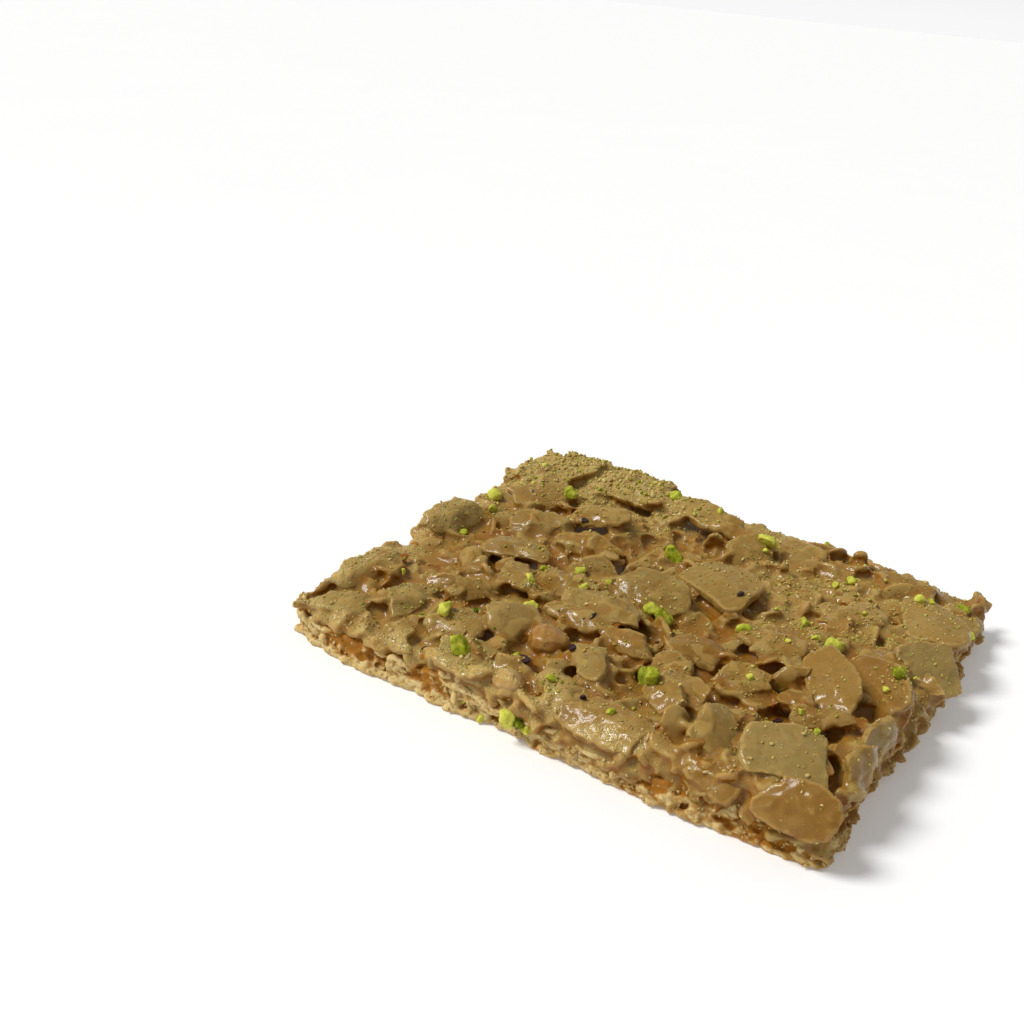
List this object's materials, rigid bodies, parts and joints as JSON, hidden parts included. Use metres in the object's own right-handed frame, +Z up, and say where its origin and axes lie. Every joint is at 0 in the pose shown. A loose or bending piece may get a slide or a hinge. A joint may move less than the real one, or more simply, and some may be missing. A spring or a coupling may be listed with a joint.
{
  "type": "nut brittle piece",
  "caption": "Square cut piece of nut brittle: set caramel full of sliced almond flakes on a thin flaky pastry sheet, uneven on top, flat underneath.",
  "frame": {"origin": "middle of the flat underside", "axes": "+X along the near cut edge, +Y away from it across the slab, +Z up"},
  "size_m": [0.1054, 0.095, 0.015],
  "materials": {
    "pastry": "dry, flaky, crumbly baked pastry",
    "caramel": "set milky caramel, softly glossy",
    "almond": "sliced almond with a thin coat of caramel",
    "pistachio": "chopped green kernel, slightly rough",
    "crumb": "dry crumbs of nut and pastry",
    "nut_skin": "dark papery skin of a nut"
  },
  "bodies": {
    "root": {"pastry_base": "pastry", "caramel_nut_layer": "caramel", "almond_flake_01": "almond", "almond_flake_02": "almond", "almond_flake_03": "almond", "almond_flake_04": "almond", "almond_flake_05": "almond", "almond_flake_06": "almond", "almond_flake_07": "almond", "almond_flake_08": "almond", "almond_flake_09": "almond", "almond_flake_10": "almond", "almond_flake_11": "almond", "almond_flake_12": "almond", "almond_flake_13": "almond", "almond_flake_14": "almond", "almond_flake_15": "almond", "almond_flake_16": "almond", "almond_flake_17": "almond", "almond_flake_18": "almond", "almond_flake_19": "almond", "almond_flake_20": "almond", "almond_flake_21": "almond", "almond_flake_22": "almond", "almond_flake_23": "almond", "almond_flake_24": "almond", "almond_flake_25": "almond", "almond_flake_26": "almond", "almond_flake_27": "almond", "almond_flake_28": "almond", "almond_flake_29": "almond", "almond_flake_30": "almond", "almond_flake_31": "almond", "almond_flake_32": "almond", "almond_flake_33": "almond", "almond_flake_34": "almond", "almond_flake_35": "almond", "almond_flake_36": "almond", "almond_flake_37": "almond", "almond_flake_38": "almond", "almond_flake_39": "almond", "almond_flake_40": "almond", "almond_flake_41": "almond", "almond_flake_42": "almond", "almond_flake_43": "almond", "almond_flake_44": "almond", "almond_flake_45": "almond", "almond_flake_46": "almond", "almond_flake_47": "almond", "almond_flake_48": "almond", "almond_flake_49": "almond", "almond_flake_50": "almond", "almond_flake_51": "almond", "almond_flake_52": "almond", "almond_flake_53": "almond", "almond_flake_54": "almond", "almond_flake_55": "almond", "almond_piece_01": "almond", "almond_piece_02": "almond", "almond_piece_03": "almond"}
  },
  "joints": []
}
